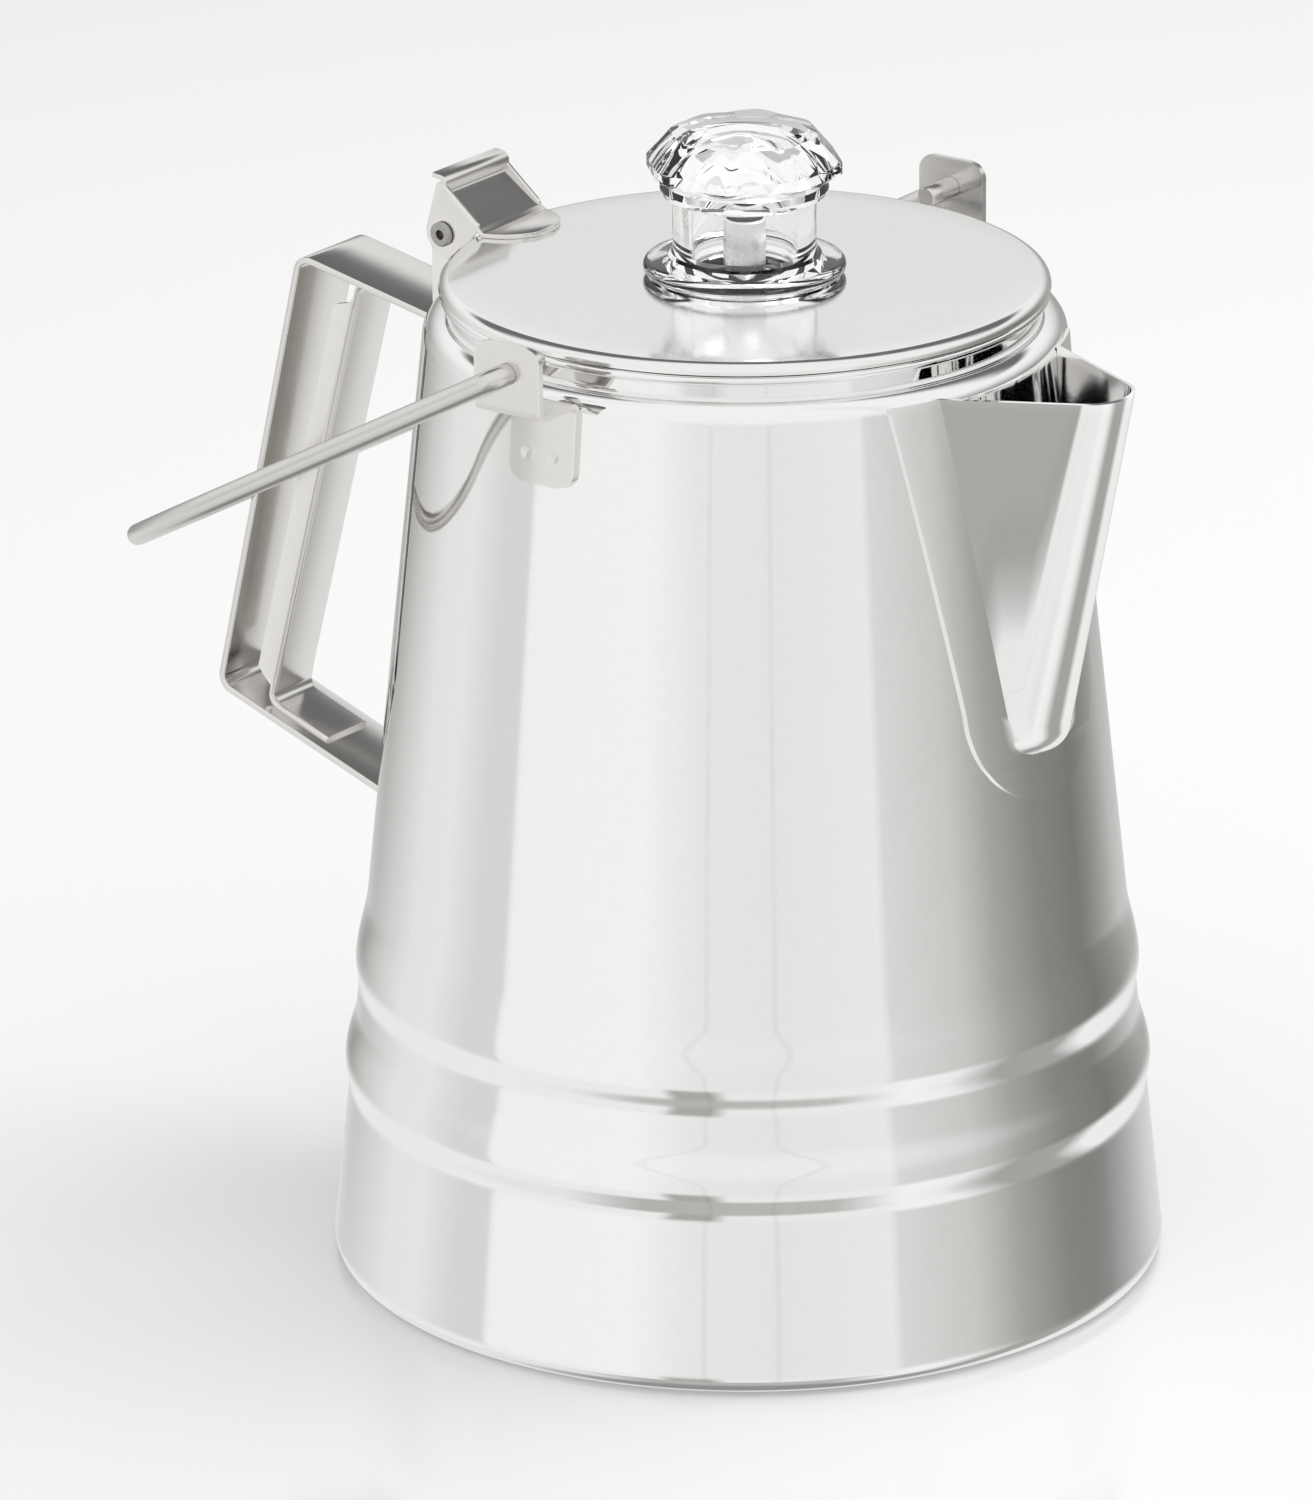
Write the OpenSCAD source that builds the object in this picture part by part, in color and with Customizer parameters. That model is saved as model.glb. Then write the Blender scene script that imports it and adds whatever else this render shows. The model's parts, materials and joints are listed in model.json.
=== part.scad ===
// Stainless steel coffee percolator: a tapered pot with a folded spout, a strap handle, a swinging
// bail and a hinged lid with a glass knob, and inside it a pump with a coffee basket.
// Origin: centre of the base, on the floor. +Z is up, +X points to the spout, ears at -Y and +Y.

/* [Body] */
// Diameter that the wall's cone reaches at the floor
cone_d = 173.2; // [170:0.2:176]
// Diameter of the wall where the shoulder starts
shoulder_d = 130.8; // [129:0.2:132]
// Height where the shoulder starts
shoulder_z = 197.5; // [196:0.5:199]
// Radius of the shoulder
shoulder_r = 5; // [4.6:0.1:5.4]
// Thickness of the body's sheet
sheet = 0.8; // [0.6:0.1:1]
// Radius of the rounded edge under the wall
foot_r = 3.6; // [3:0.1:5]
// Heights of the crests of the lower and the upper bead
bead_z = [43, 64.5];
// How far each bead stands out of the cone
bead_h = [1.4, 1.2];

/* [Spout] */
// Distance of the nose from the pot's axis
nose_x = 92.5; // [91:0.5:96]
// Height of the spout's rim
spout_z = 200; // [198:0.5:201]
// Height of the spout's foot
spout_foot_z = 127.5; // [124:0.5:130]
// Half of the spout's width where it meets the wall at the rim
spout_half_w = 20; // [18:0.5:21]
// Radius of the spout's nose at the rim
nose_r = 9.9; // [9:0.1:11]
// Radius of the spout's nose at its foot
foot_nose_r = 13; // [12:0.5:14]
// Lowest point of the flange that is welded on the wall
flange_low = 113; // [111:0.5:116]
// Radius of the flange's round lower end
flange_r = 22; // [20:0.5:23]
// Half of the flange's width at the rim
flange_half_w = 32; // [30:0.5:34]

/* [Handle] */
// Width of the outer strap
strap_w = 20; // [18:1:22]
// Width of the inner grip
grip_w = 14; // [12:1:16]
// Distance of the handle's upper corner from the pot's axis
handle_top_x = 106.3; // [104:0.1:107]
// Distance of the handle's lower corner from the pot's axis
handle_low_x = 129.5; // [127:0.5:131]
// Height of the handle's upper corner
handle_top_z = 197.4; // [196:0.1:198]
// Height of the handle's lower corner
handle_low_z = 99; // [97:0.5:102]
// Height where the upper arm meets the wall
arm_z = 189; // [187:0.5:191]
// Height where the lower arm meets the wall
low_arm_z = 80.2; // [79:0.1:84]
// Gap between the strap's and the grip's uprights, at the top and at the bottom
grip_inset = [13.2, 11];

/* [Lid and knob] */
// Diameter of the lid
lid_d = 124; // [123.6:0.1:124.6]
// Height of the lid's flat top
lid_z = 210; // [209.8:0.1:210.4]
// Radius of the lid's bayonet hole
lid_hole_r = 15.2; // [15:0.1:15.6]
// Width of the lever on the lid
lever_w = 22; // [21.6:0.1:23]
// Diameter of the glass knob's head
knob_d = 41; // [39:0.5:42]
// Height of the knob above the lid
knob_h = 31; // [30.5:0.1:32]

/* [Bail] */
// Diameter of the bail's wire
wire_d = 4.4; // [4.1:0.1:4.6]
// Radius of the bail's two corners
bail_corner_r = 60; // [54:1:63]

/* [Pump and basket] */
// Outer diameter of the pump's tube
tube_d = 8.6; // [8:0.1:9]
// Height of the tube's top
tube_top = 222; // [215:0.5:224]
// Outer diameter of the basket
basket_d = 100; // [90:1:106]
// Height of the basket's bottom
basket_z = 135; // [130:1:137]
// Depth of the basket
basket_h = 54; // [50:1:56]
// Height of the underside of the pump's foot, just above the pan
foot_z = 1.2; // [1.1:0.1:1.5]

/* [Hidden] */
$fn = 96;
steel = "gainsboro";
satin = "silver";

taper = (cone_d - shoulder_d) / 2 / shoulder_z;
bead_below = [7, 7];        // how far each bead's round reaches below its crest
bead_above = [10, 13];      // and above it
rim_bead_r = 1.1;
neck_r = (shoulder_d - 2 * shoulder_r) / 2;
rim_r = neck_r + 0.3;       // middle of the rolled rim
lid_edge_r = 2.3;           // height and radius of the lid's rounded edge
play = 0.3;                 // gap between pieces that move apart
rim_z = lid_z - lid_edge_r - play - rim_bead_r;
run_fit = 0.05;             // radial gap between a pin and its hole
pan_r = 80;
strap_t = 1.5;
grip_t = 1;
strap_slope = (handle_low_x - handle_top_x) / (handle_top_z - handle_low_z);
hinge_x = -68;
hinge_z = lid_z - 0.8;
bracket_w = lever_w - 3.2;
pin_r = 1.5;
foot_out = 4.5;             // how far the spout's foot stands out of the wall
ear_back = 2;               // distance of the ears behind the pot's axis
ear_t = 1.2;
ear_w = 16;
ear_y = 77.8;               // middle of each ear's upright plate
ear_low = 182.8;
ear_shelf = 199.6;
ear_up = 15.2;              // height of the upright plate above the shelf's underside
bail_z = 208.6;             // height of the bail's axis
bail_w = 163.6;             // distance between the middles of the bail's two legs
rest_angle = 28.5;          // angle below the horizontal at which the bail rests on the handle
tube_r = tube_d / 2;
tube_t = 0.6;
sleeve_gap = 0.35;

// How far each arm of the handle falls along X, and the height of the middle of its sheet at an x
arm_fall = (handle_top_z - arm_z) / (handle_top_x - cone_r(arm_z) - strap_t / 2);
low_fall = (handle_low_z - low_arm_z) / (handle_low_x - cone_r(low_arm_z) - strap_t / 2);
function on_arm(x) = handle_top_z + (x + handle_top_x) * -arm_fall;
function on_low_arm(x) = handle_low_z + (x + handle_low_x) * -low_fall;

// Reach of the bail from its axis, so that its far side rests on the handle's outer face
face_angle = atan(strap_slope);
face_reach = (handle_top_x - ear_back + strap_t / 2 / cos(face_angle) - strap_slope * (bail_z - handle_top_z))
    / (cos(rest_angle) - strap_slope * sin(rest_angle));
bail_reach = face_reach + (wire_d / 2 + play + 0.1) / cos(rest_angle + face_angle);

// Radius of the wall's cone and of the wall with its beads, at a height
function cone_r(z) = cone_d / 2 - taper * z;
function bump(z, i) =
    let (t = (z - bead_z[i]) / (z < bead_z[i] ? bead_below[i] : bead_above[i]))
    abs(t) < 1 ? bead_h[i] * (1 + cos(180 * t)) / 2 : 0;
function wall_r(z) = cone_r(z) + bump(z, 0) + bump(z, 1);
function arc(c, r, from, to, steps = 8) =
    [for (i = [0 : steps]) let (a = from + (to - from) * i / steps) c + r * [cos(a), sin(a)]];

// A path of corners with every inner corner rounded, and the outline of a strip that follows a path
function unit(v) = v / norm(v);
function turn(v) = [-v[1], v[0]];
function corner(a, b, c, r, steps = 6) =
    let (u = unit(a - b), v = unit(c - b), half = acos(u * v) / 2, sweep = 180 - 2 * half,
        m = b + unit(u + v) * r / sin(half), s = b + u * r / tan(half) - m, e = b + v * r / tan(half) - m)
    [for (i = [0 : steps]) let (t = i / steps) m + (sin((1 - t) * sweep) * s + sin(t * sweep) * e) / sin(sweep)];
function rounded_path(p, r) = concat([p[0]],
    [for (i = [1 : len(p) - 2]) each corner(p[i - 1], p[i], p[i + 1], r)], [p[len(p) - 1]]);
function normal(p, i) =
    let (n = len(p) - 1, a = turn(unit(p[min(i + 1, n)] - p[min(i, n - 1)])),
        b = turn(unit(p[max(i, 1)] - p[max(i - 1, 0)])), m = unit(a + b)) m / (m * a);
function strip(p, t) = concat([for (i = [0 : len(p) - 1]) p[i] + normal(p, i) * t / 2],
    [for (i = [len(p) - 1 : -1 : 0]) p[i] - normal(p, i) * t / 2]);

// An outline in X and Z, made as thick as w along Y
module along_y(w, y = 0) translate([0, y + w / 2, 0]) rotate([90, 0, 0]) linear_extrude(w) children();
// An outline in Y and Z, made from x along X
module along_x(x, length) translate([x, 0, 0]) rotate([90, 0, 90]) linear_extrude(length) children();

// Space between two cones that follow the wall, out and in by these distances
module wall_layer(z0, z1, outer, inner) {
    difference() {
        translate([0, 0, z0]) cylinder(h = z1 - z0, r1 = cone_r(z0) + outer, r2 = cone_r(z1) + outer);
        translate([0, 0, z0 - 1])
            cylinder(h = z1 - z0 + 2, r1 = cone_r(z0 - 1) + inner, r2 = cone_r(z1 + 1) + inner);
    }
}

// A plate outline that stands on y = 0, with its two upper corners rounded
module plate(w, h, r) {
    translate([-w / 2, 0]) square([w, h - r]);
    translate([-w / 2 + r, 0]) square([w - 2 * r, h]);
    for (s = [-1, 1]) translate([s * (w / 2 - r), h - r]) circle(r);
}

// ---- Body ----

module body_shell() {
    bead_top = bead_z[1] + bead_above[1];
    outer = concat([[pan_r, 0]],
        arc([wall_r(foot_r) - foot_r, foot_r], foot_r, -90, 0),
        [for (z = [foot_r + 2 : 1.5 : bead_top]) [wall_r(z), z]], [[cone_r(bead_top + 2), bead_top + 2]],
        arc([neck_r, shoulder_z], shoulder_r, 0, 90), [[neck_r, rim_z]]);
    inner = concat([[neck_r - sheet, rim_z]],
        arc([neck_r, shoulder_z], shoulder_r - sheet, 90, 0),
        [[cone_r(bead_top + 2) - sheet, bead_top + 2]],
        [for (i = [0 : 48]) let (z = bead_top + (foot_r + 2 - bead_top) * i / 48) [wall_r(z) - sheet, z]],
        arc([wall_r(foot_r) - foot_r, foot_r], foot_r - sheet, 0, -90), [[pan_r, sheet]]);
    color(steel) difference() {
        rotate_extrude() {
            polygon(concat(outer, inner));
            translate([rim_r, rim_z]) circle(rim_bead_r);
        }
        pour_holes();
    }
}

// Strainer holes through the wall behind the spout, in rows that narrow downwards
module pour_holes() {
    hole_d = 5;
    step = 9;
    top = spout_z - 19;
    rows = [3, 2, 3, 2, 1];
    for (i = [0 : len(rows) - 1], j = [0 : rows[i] - 1])
        translate([neck_r - 10, (j - (rows[i] - 1) / 2) * step, top - i * step])
            rotate([0, 90, 0]) cylinder(h = 30, d = hole_d);
}

module base_pan() {
    color(steel) cylinder(h = 1, r = pan_r);
}

// ---- Spout ----

// The trough's outside, or its inside when cut is the sheet's thickness
module trough(cut) {
    rim = spout_z + (cut > 0 ? 1 : 0);
    slice = 0.5;            // height of each of the outlines that the hull joins
    post = 0.1;             // width of the posts at its two rear edges
    in_wall = 5;            // how far those edges lie inside the wall
    wider = 2.2;            // and how much wider the trough is there than at the wall
    hull() {
        translate([nose_x - nose_r, 0, rim - slice]) cylinder(h = slice, r = nose_r - cut, $fn = 40);
        for (s = [-1, 1])
            translate([cone_r(rim) - in_wall, s * (spout_half_w + wider - cut) - post / 2, rim - slice])
                cube([post, post, slice]);
        translate([cone_r(spout_foot_z) + foot_out - foot_nose_r, 0, spout_foot_z])
            cylinder(h = slice, r = foot_nose_r - cut, $fn = 40);
    }
}

module spout() {
    flange_mid = flange_low + flange_r;
    side = [[-flange_r, flange_mid], [-flange_half_w, spout_z + 1], [flange_half_w, spout_z + 1],
        [flange_r, flange_mid]];
    below = flange_low - 3;
    color(steel) difference() {
        union() {
            difference() {
                trough(0);
                trough(sheet);
            }
            intersection() {
                wall_layer(below, spout_z, sheet, 0);
                along_x(0, cone_d) {
                    polygon(side);
                    translate([0, flange_mid]) circle(flange_r);
                }
            }
        }
        translate([0, 0, below]) cylinder(h = lid_z - below, r1 = cone_r(below), r2 = cone_r(lid_z));
        trough(sheet);
    }
}

// ---- Handle ----

module handle_strap() {
    tab = 14;
    off = strap_t / 2;
    path = [[-cone_r(arm_z - tab) - off, arm_z - tab], [-cone_r(arm_z) - off, arm_z], [-handle_top_x, handle_top_z],
        [-handle_low_x, handle_low_z], [-cone_r(low_arm_z) - off, low_arm_z],
        [-cone_r(low_arm_z + tab) - off, low_arm_z + tab]];
    color(satin) difference() {
        along_y(strap_w) polygon(strip(rounded_path(path, 3), strap_t));
        translate([0, 0, low_arm_z - tab])
            cylinder(h = lid_z - low_arm_z, r1 = cone_r(low_arm_z - tab), r2 = cone_r(lid_z - tab));
    }
}

module handle_grip() {
    depth = 4.7;
    tab = 13;
    foot_tab = 15;
    gap = (strap_t + grip_t) / 2;
    top_x = -handle_top_x + grip_inset[0];
    low_x = -handle_low_x + grip_inset[1];
    function under(x) = [x, on_arm(x) - gap * sqrt(1 + arm_fall * arm_fall)];
    function over(x) = [x, on_low_arm(x) + gap * sqrt(1 + low_fall * low_fall)];
    top = under(top_x);
    low = over(low_x);
    path = [under(top_x + tab), top, low, over(low_x + foot_tab)];
    flange = [for (t = [0.07, 0.93]) top + t * (low - top) + [-(depth + grip_t) / 2, 0]];
    color(satin) {
        along_y(grip_w) polygon(strip(rounded_path(path, 2.5), grip_t));
        for (s = [-1, 1])
            along_y(grip_t, s * (grip_w - grip_t) / 2) polygon(strip(flange, depth));
    }
}

// ---- Lid's hinge ----

// A channel that stands on the handle's upper arm, clear of the pot's wall
module hinge_bracket() {
    t = 1.2;
    cheek_r = 4;
    front_x = -cone_r(arm_z) - play;
    back_x = hinge_x - cheek_r;
    skin = strap_t / 2 * sqrt(1 + arm_fall * arm_fall);
    front = [front_x, on_arm(front_x) + skin];
    back = [back_x, on_arm(back_x) + skin];
    color(satin) {
        along_y(bracket_w) polygon([back, front, front + [0, t], back + [0, t]]);
        for (s = [-1, 1])
            along_y(t, s * (bracket_w - t) / 2) difference() {
                union() {
                    translate([hinge_x, hinge_z]) circle(cheek_r);
                    polygon([back, front, [front_x, hinge_z], [back_x, hinge_z]]);
                }
                translate([hinge_x, hinge_z]) circle(pin_r);
            }
    }
}

module hinge_pin() {
    head = 0.9;
    reach = lever_w / 2 + 0.2;
    color("dimgray") translate([hinge_x, 0, hinge_z]) rotate([90, 0, 0]) difference() {
        union() {
            cylinder(h = 2 * (reach + head), r = pin_r, center = true);
            for (s = [-1, 1]) translate([0, 0, s * (reach + head / 2)]) cylinder(h = head, r = 2.6, center = true);
        }
        for (s = [-1, 1]) translate([0, 0, s * (reach + head)]) cylinder(h = 4, r = 0.9, center = true);
    }
}

module lid_lever() {
    t = 1;
    tongue_x = -60;
    face_x = -67.5;
    top = lid_z + 11;
    path = [[-49, lid_z + t / 2], [-58, lid_z + t / 2], [face_x, lid_z + 7.8], [face_x, top],
        [face_x - 3, top + 0.4]];
    ear = [[hinge_x - 4.2, hinge_z + 1], [hinge_x - 1.7, top - 1], [face_x, lid_z + 8.2], [-59, lid_z + 2.5],
        [-65.5, lid_z - 6.5]];
    color(satin) {
        intersection() {
            along_y(lever_w) polygon(strip(rounded_path(path, 1.2), t));
            translate([0, 0, lid_z - 1]) linear_extrude(20) {
                translate([tongue_x, 0]) circle(lever_w / 2 + 0.2);
                translate([tongue_x - 20, -lever_w / 2]) square([20, lever_w]);
            }
        }
        for (s = [-1, 1])
            along_y(t, s * (lever_w - t) / 2) difference() {
                union() {
                    polygon(ear);
                    translate([hinge_x, hinge_z]) circle(4.3);
                }
                translate([hinge_x, hinge_z]) circle(pin_r + run_fit);
            }
    }
}

// ---- Bail and its ears ----

module bail_ear_near() {
    bail_ear(-1);
}

module bail_ear_far() {
    bail_ear(1);
}

// The ear on one side: a tab on the wall, a shelf that stands out and an upright plate with the hole
module bail_ear(side) {
    corner_r = 3.5;
    middle = -ear_back;
    color(satin) mirror([0, side < 0 ? 1 : 0, 0]) {
        intersection() {
            wall_layer(ear_low, ear_shelf + ear_t, ear_t, 0);
            translate([middle, ear_y, ear_shelf + ear_t]) rotate([90, 180, 0])
                linear_extrude(ear_y) plate(ear_w, ear_shelf + ear_t - ear_low, corner_r);
        }
        difference() {
            translate([middle - ear_w / 2, ear_y / 2, ear_shelf]) cube([ear_w, ear_y / 2, ear_t]);
            cylinder(h = lid_z, r = cone_r(ear_shelf));
        }
        difference() {
            along_y(ear_t, ear_y) translate([middle, ear_shelf]) plate(ear_w, ear_up, corner_r);
            translate([middle, ear_y, bail_z]) rotate([90, 0, 0])
                cylinder(h = 10, d = wire_d + 2 * run_fit, center = true);
        }
    }
}

// A straight stretch of wire that starts at a point, turned about Z from the X direction
module wire(start, angle, length) {
    translate(start) rotate([0, 0, angle]) rotate([0, 90, 0]) cylinder(h = length, d = wire_d);
}

// A quarter bend of wire about a centre, starting at an angle
module wire_bend(centre, radius, angle) {
    translate(centre) rotate([0, 0, angle]) rotate_extrude(angle = 90) translate([radius, 0]) circle(d = wire_d);
}

module bail_wire() {
    $fn = 60;
    hook_r = 3.5;
    pin_in = ear_y - 10;    // where each turned-in end stops
    leg_y = bail_w / 2;
    far = bail_corner_r - bail_reach;
    color(satin) translate([-ear_back, 0, bail_z]) rotate([0, -rest_angle, 0]) {
        wire([0, pin_in, 0], 90, leg_y - hook_r - pin_in);
        wire_bend([-hook_r, leg_y - hook_r, 0], hook_r, 0);
        wire([far, leg_y, 0], 0, -far - hook_r);
        wire_bend([far, leg_y - bail_corner_r, 0], bail_corner_r, 90);
        wire([-bail_reach, bail_corner_r - leg_y, 0], 90, 2 * (leg_y - bail_corner_r));
        wire_bend([far, bail_corner_r - leg_y, 0], bail_corner_r, 180);
        wire([far, -leg_y, 0], 0, -far - hook_r);
        wire_bend([-hook_r, hook_r - leg_y, 0], hook_r, -90);
        wire([0, hook_r - leg_y, 0], 90, leg_y - hook_r - pin_in);
    }
}

// ---- Lid and knob ----

module lid_disc() {
    r = lid_d / 2;
    color(steel) difference() {
        rotate_extrude() polygon(concat([[lid_hole_r, lid_z - sheet], [lid_hole_r, lid_z]],
            arc([r - lid_edge_r, lid_z - lid_edge_r], lid_edge_r, 90, 0),
            [[r - sheet, lid_z - lid_edge_r]],
            arc([r - lid_edge_r, lid_z - lid_edge_r], lid_edge_r - sheet, 0, 90)));
        for (s = [-1, 1]) translate([s * lid_hole_r, 0, lid_z]) cube([5, 8, 10], center = true);
    }
}

module lid_skirt() {
    r = neck_r - sheet - 1.2;
    color(steel) rotate_extrude() polygon([[r - sheet, lid_z - 8.5], [r, lid_z - 8.5], [r, lid_z - sheet],
        [r - 6, lid_z - sheet], [r - 6, lid_z - 2 * sheet], [r - sheet, lid_z - 2 * sheet]]);
}

module knob_glass() {
    top = lid_z + knob_h;
    base = lid_z + play;
    low = lid_z - 7;
    head_r = knob_d / 2;
    bore_r = 10.8;
    color("aliceblue") {
        rotate_extrude() polygon(concat([[bore_r, low], [14.7, low], [14.7, base], [19.6, base]],
            arc([19.1, base + 1.6], 1.5, -60, 90, 6),
            [[15.6, base + 4], [14.6, base + 5.5], [14.6, top - 15], [16.6, top - 14], [17.1, top - 12.8],
                [16.4, top - 11.6], [17.2, top - 10.8], [head_r, top - 9], [head_r, top - 7],
                [head_r - 5, top - 1.4], [head_r - 9, top - 0.4], [0, top]],
            [[0, top - 6]], arc([0, top - 12], 6, 90, 60, 2), [[bore_r - 3, top - 8.5], [bore_r, top - 12]]));
        for (a = [90, 270]) rotate([0, 0, a])
            translate([14, -3.5, low + 1]) cube([3, 7, 4.6]);
    }
}

// ---- Pump and basket ----

module pump_tube() {
    color(satin) translate([0, 0, foot_z + 16]) difference() {
        cylinder(h = tube_top - foot_z - 16, r = tube_r);
        translate([0, 0, -1]) cylinder(h = tube_top, r = tube_r - tube_t);
    }
}

module pump_foot() {
    bell_r = 30;
    color(satin) difference() {
        rotate_extrude() polygon([[bell_r - 4, foot_z], [bell_r, foot_z], [bell_r, foot_z + sheet],
            [bell_r - 4, foot_z + sheet], [9, foot_z + 14], [tube_r + sheet, foot_z + 16],
            [tube_r + sheet, foot_z + 24], [tube_r, foot_z + 24], [tube_r, foot_z + 16], [tube_r - tube_t, foot_z + 16],
            [tube_r - tube_t, foot_z + 15], [8.4, foot_z + 13.2], [bell_r - 5, foot_z]]);
        for (a = [0 : 90 : 359]) rotate([0, 0, a + 45])
            translate([bell_r, 0, foot_z + 1]) rotate([0, 90, 0]) cylinder(h = 16, r = 2, center = true);
    }
}

module pump_collar() {
    color("gray") translate([0, 0, basket_z - 3.5]) difference() {
        cylinder(h = 3, r = tube_r + 2.4);
        translate([0, 0, -1]) cylinder(h = 5, r = tube_r);
    }
}

// Round holes in rings round the axis: [radius, count] for each ring
module ring_holes(rings, d, z) {
    for (ring = rings, i = [0 : ring[1] - 1])
        rotate([0, 0, 360 * (i + 0.5) / ring[1]]) translate([ring[0], 0, z - 2]) cylinder(h = 4, d = d, $fn = 24);
}

module basket_cup() {
    r = basket_d / 2;
    color(steel) difference() {
        rotate_extrude() polygon(concat([[tube_r + sleeve_gap + sheet, basket_z]],
            arc([r - 4, basket_z + 4], 4, -90, 0, 6), [[r, basket_z + basket_h - 1], [r + 1.4, basket_z + basket_h - 1],
                [r + 1.4, basket_z + basket_h], [r - sheet, basket_z + basket_h]],
            arc([r - 4, basket_z + 4], 4 - sheet, 0, -90, 6), [[tube_r + sleeve_gap + sheet, basket_z + sheet]]));
        ring_holes([[12, 8], [20, 14], [28, 20], [36, 26], [43, 30]], 2.2, basket_z);
    }
}

module basket_sleeve() {
    color(satin) translate([0, 0, basket_z - 0.2]) difference() {
        cylinder(h = basket_h - 3, r = tube_r + sleeve_gap + sheet);
        translate([0, 0, -1]) cylinder(h = basket_h + 5, r = tube_r + sleeve_gap);
    }
}

module basket_lid() {
    r = basket_d / 2;
    z = basket_z + basket_h + 0.2;
    hub = tube_r + sleeve_gap;
    color(steel) difference() {
        rotate_extrude() polygon([[hub, z - 3], [hub + sheet, z - 3], [r - 4, z - 3], [r - 2, z], [r + 1.4, z],
            [r + 1.4, z + sheet], [r - 2.4, z + sheet], [r - 4.4, z - 3 + sheet], [hub + sheet, z - 3 + sheet],
            [hub + sheet, z + 4], [hub, z + 4]]);
        ring_holes([[12, 10], [19, 16], [26, 22], [33, 28], [40, 34]], 2.2, z - 3);
    }
}

body_shell();
base_pan();
spout();
handle_strap();
handle_grip();
hinge_bracket();
hinge_pin();
bail_ear_near();
bail_ear_far();
bail_wire();
lid_disc();
lid_skirt();
lid_lever();
knob_glass();
pump_tube();
pump_foot();
pump_collar();
basket_cup();
basket_sleeve();
basket_lid();
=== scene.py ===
"""Looks of the coffee percolator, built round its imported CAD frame."""
import json
import math

import bmesh
import bpy
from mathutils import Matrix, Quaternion, Vector, geometry


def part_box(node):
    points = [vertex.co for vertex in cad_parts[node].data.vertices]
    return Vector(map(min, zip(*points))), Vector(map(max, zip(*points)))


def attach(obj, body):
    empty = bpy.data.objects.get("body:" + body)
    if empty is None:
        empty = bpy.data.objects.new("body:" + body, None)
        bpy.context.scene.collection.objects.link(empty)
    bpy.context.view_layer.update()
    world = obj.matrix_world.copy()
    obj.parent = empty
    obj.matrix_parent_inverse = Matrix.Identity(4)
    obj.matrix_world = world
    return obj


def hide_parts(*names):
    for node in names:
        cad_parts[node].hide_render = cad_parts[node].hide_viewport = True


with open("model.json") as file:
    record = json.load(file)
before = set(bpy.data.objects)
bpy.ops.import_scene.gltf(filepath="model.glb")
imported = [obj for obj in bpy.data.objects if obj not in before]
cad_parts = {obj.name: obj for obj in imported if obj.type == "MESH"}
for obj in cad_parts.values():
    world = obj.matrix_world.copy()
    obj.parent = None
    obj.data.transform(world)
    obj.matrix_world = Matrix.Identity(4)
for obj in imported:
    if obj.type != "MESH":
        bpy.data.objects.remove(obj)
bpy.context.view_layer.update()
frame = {"nodes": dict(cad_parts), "record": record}

MM = 0.001
JOINTS = {joint["name"]: joint for joint in frame["record"]["behaviour"]["joints"]}


def box_mm(node):
    """Lowest and highest corner of a CAD node, in millimetres."""
    low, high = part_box(node)
    return low / MM, high / MM


def joint_mm(name):
    """A point on a joint's axis, in millimetres."""
    return Vector(JOINTS[name]["pos_m"]) / MM


# ---- Sizes, in millimetres, as the CAD frame has them ----

SHEET = 0.8
CONE_R = 86.6                  # radius that the wall's cone reaches at the floor
SHOULDER_R = 65.4
SHOULDER_Z = 197.5
SHOULDER_ROUND = 5
FOOT_ROUND = 3.6
BEADS = ((43, 1.4, 7, 10), (64.5, 1.2, 7, 13))     # crest height, height of bead, reach below and above
TAPER = (CONE_R - SHOULDER_R) / SHOULDER_Z
NECK_R = SHOULDER_R - SHOULDER_ROUND
RIM_Z = box_mm("body_shell")[1].z - 1.1
RIM_BEAD = 1.1
LID_Z = box_mm("lid_disc")[1].z
LID_R = box_mm("lid_disc")[1].x
LID_ROUND = 2.3
HINGE = joint_mm("lid_hinge")
PIN_R = 1.5
RUN_FIT = 0.05                 # radial gap between a pin or a wire and its hole
PIN_REACH = box_mm("hinge_pin")[1].y
LEVER_W = 2 * box_mm("lid_lever")[1].y
KNOB_TOP = box_mm("knob_glass")[1].z
KNOB_LOW = box_mm("knob_glass")[0].z
KNOB_R = box_mm("knob_glass")[1].x

NOSE_X = box_mm("spout")[1].x
SPOUT_Z = box_mm("spout")[1].z
SPOUT_FOOT_Z = 127.5
NOSE_R = 9.9
FOOT_NOSE_R = 13
FOOT_OUT = 4.5                 # how far the spout's foot stands out of the wall
FOOT_CLOSE = 4.5               # height over which the foot closes
FOOT_NARROW = 0.35             # share of its width that is left at its end
FOLD_W = (10.7, 21.3)          # half-width of the trough at the wall, at its foot and at the rim
FLANGE_LOW = box_mm("spout")[0].z
FLANGE_R = 22
FLANGE_W = 32

STRAP_W = 2 * box_mm("handle_strap")[1].y
STRAP_T = 1.5
STRAP_TOP = Vector((-106.3, 197.4))
STRAP_LOW = Vector((-129.5, 99))
ARM_Z = 189                    # height where each arm meets the wall
LOW_ARM_Z = 80.2
STRAP_TAB = 14
GRIP_W = 2 * box_mm("handle_grip")[1].y
GRIP_T = 1
GRIP_INSET = (13.2, 11)
GRIP_DEPTH = 4.7
GRIP_TABS = (13, 15)

BAIL = joint_mm("bail_swing")
WIRE_R = 2.2
BAIL_LOW, BAIL_HIGH = box_mm("bail_wire")
BAIL_LEG_Y = BAIL_HIGH.y - WIRE_R
BAIL_CORNER_R = 60
HOOK_R = 3.5
EAR_T = 1.2
EAR_LOW, EAR_HIGH = box_mm("bail_ear_far")
EAR_Y = EAR_HIGH.y - EAR_T / 2
EAR_SHELF = 199.6 + EAR_T / 2
EAR_CORNER = 3.5


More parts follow.
